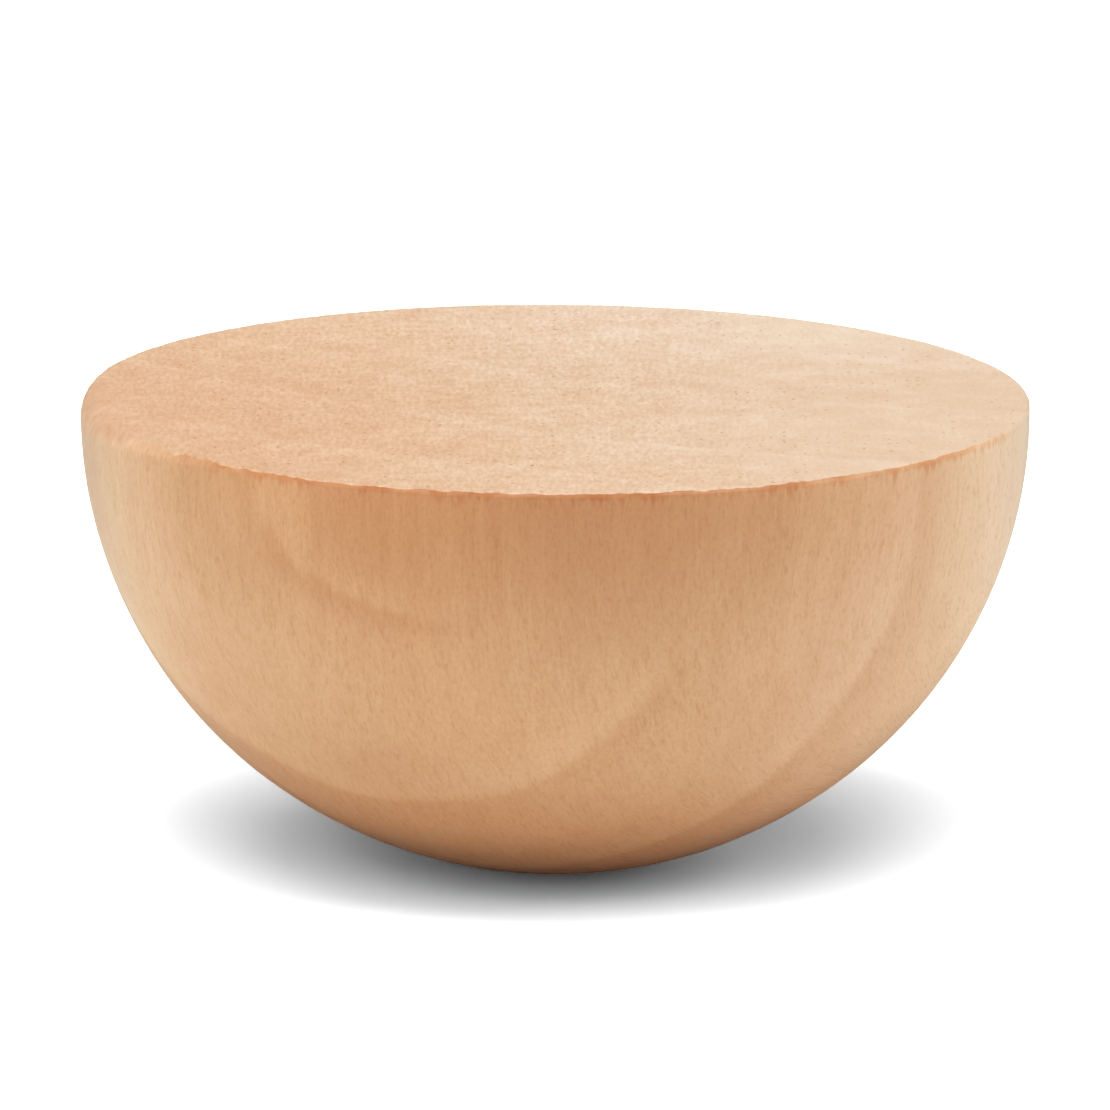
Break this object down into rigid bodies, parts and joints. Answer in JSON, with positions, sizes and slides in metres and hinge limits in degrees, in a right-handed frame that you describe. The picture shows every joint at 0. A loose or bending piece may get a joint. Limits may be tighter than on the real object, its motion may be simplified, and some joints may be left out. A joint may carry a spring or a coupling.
{
  "type": "split wooden ball",
  "caption": "Solid wooden half ball: a turned ball sawn through its centre, with a flat sawn face, a finely broken rim, and a round dome with a small parting flat at its pole, for crafts, knobs or feet.",
  "frame": {"origin": "middle of the small parting flat at the dome's pole, which the piece rests on", "axes": "+Z along the turning axis, from the dome's pole to the sawn face and along the wood's fibres; +X to the right and +Y away from the viewer in the picture"},
  "size_m": [0.0762, 0.0762, 0.038],
  "materials": {
    "wood": "matte"
  },
  "bodies": {
    "root": {"half_ball": "wood"}
  },
  "joints": []
}
